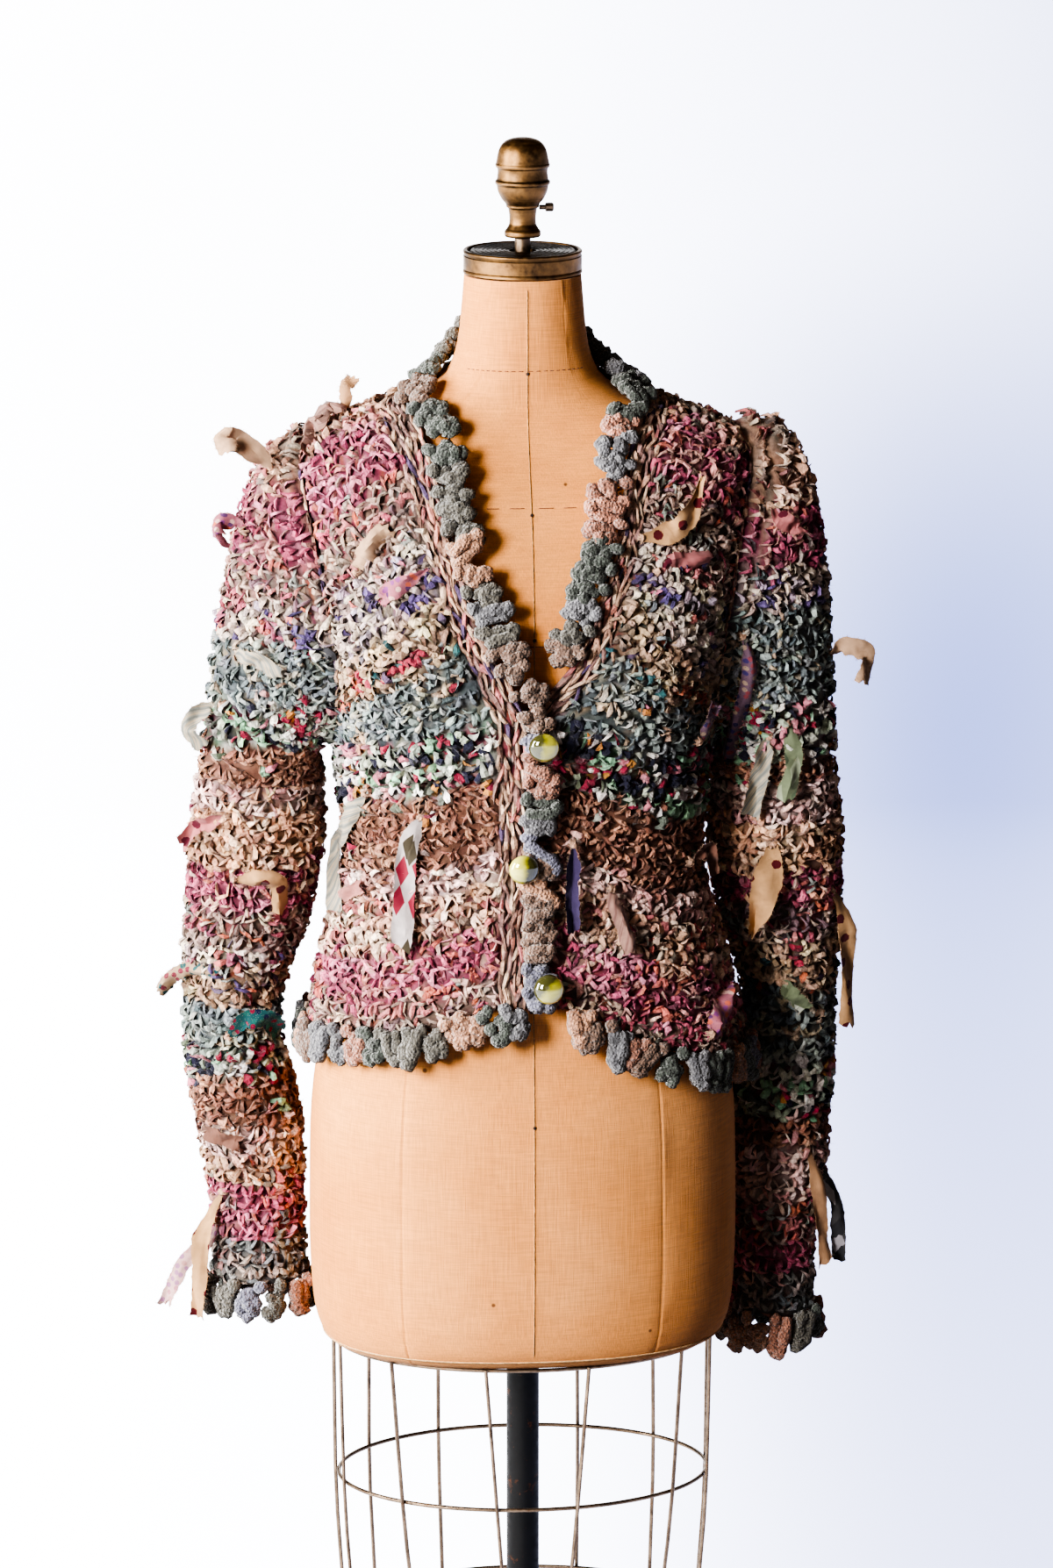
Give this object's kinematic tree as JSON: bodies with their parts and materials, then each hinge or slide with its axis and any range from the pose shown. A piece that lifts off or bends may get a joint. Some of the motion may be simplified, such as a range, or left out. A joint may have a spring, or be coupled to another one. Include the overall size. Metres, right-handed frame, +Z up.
{
  "type": "cardigan on dress form",
  "caption": "Long-sleeved V-neck cardigan crocheted from torn cloth strips, with curly chenille edging and glass buttons, on a linen dress form with a wire cage and pole stand.",
  "frame": {"origin": "centre of the base's underside, on the floor below the pole", "axes": "+Z up along the pole, the garment's front faces -Y, the wearer's left side is at +X"},
  "size_m": [0.5667, 0.38, 1.586],
  "materials": {
    "rag_crochet": "striped crochet of torn cotton strips",
    "band": "lengthwise crocheted torn cotton strips",
    "chenille": "matt variegated chenille",
    "rag_strip": "printed cotton with frayed edges",
    "button": "polished yellow-green glass",
    "linen": "aged plain-weave linen",
    "brass": "tarnished",
    "steel": "aged",
    "iron": "worn black paint"
  },
  "bodies": {
    "root": {"front_right": "rag_crochet", "front_left": "rag_crochet", "back": "rag_crochet", "sleeve_right": "rag_crochet", "sleeve_left": "rag_crochet", "band_right": "band", "band_left": "band", "frill_neck_right": "chenille", "frill_neck_left": "chenille", "frill_neck_back": "chenille", "frill_front": "chenille", "frill_hem_right": "chenille", "frill_hem_left": "chenille", "frill_hem_back": "chenille", "frill_cuff_right": "chenille", "frill_cuff_left": "chenille", "strip_shoulder_curl": "rag_strip", "strip_shoulder_leaf": "rag_strip", "strip_chest_fold": "rag_strip", "strip_upper_arm_loop": "rag_strip", "strip_elbow_dots": "rag_strip", "strip_waist_ticking": "rag_strip", "strip_waist_leaves": "rag_strip", "strip_forearm_teal": "rag_strip", "strip_wrist_dots": "rag_strip", "strip_wrist_print": "rag_strip", "strip_chest_dots": "rag_strip", "strip_side_print": "rag_strip", "strip_upper_arm_roll": "rag_strip", "strip_elbow_green": "rag_strip", "strip_elbow_dots_large": "rag_strip", "strip_forearm_dots": "rag_strip", "strip_wrist_tan": "rag_strip", "strip_wrist_leaves": "rag_strip", "button_top": "button", "button_middle": "button", "button_bottom": "button", "form_torso": "linen", "neck_cap": "brass", "finial": "brass", "neck_rod": "steel", "finial_screw": "steel", "cage_ring_top": "steel", "cage_ring_middle": "steel", "cage_ring_bottom": "steel", "cage_wire_01": "steel", "cage_wire_02": "steel", "cage_wire_03": "steel", "cage_wire_04": "steel", "cage_wire_05": "steel", "cage_wire_06": "steel", "cage_wire_07": "steel", "cage_wire_08": "steel", "cage_wire_09": "steel", "cage_wire_10": "steel", "cage_wire_11": "steel", "cage_wire_12": "steel", "pole": "iron", "base": "iron"}
  },
  "joints": []
}
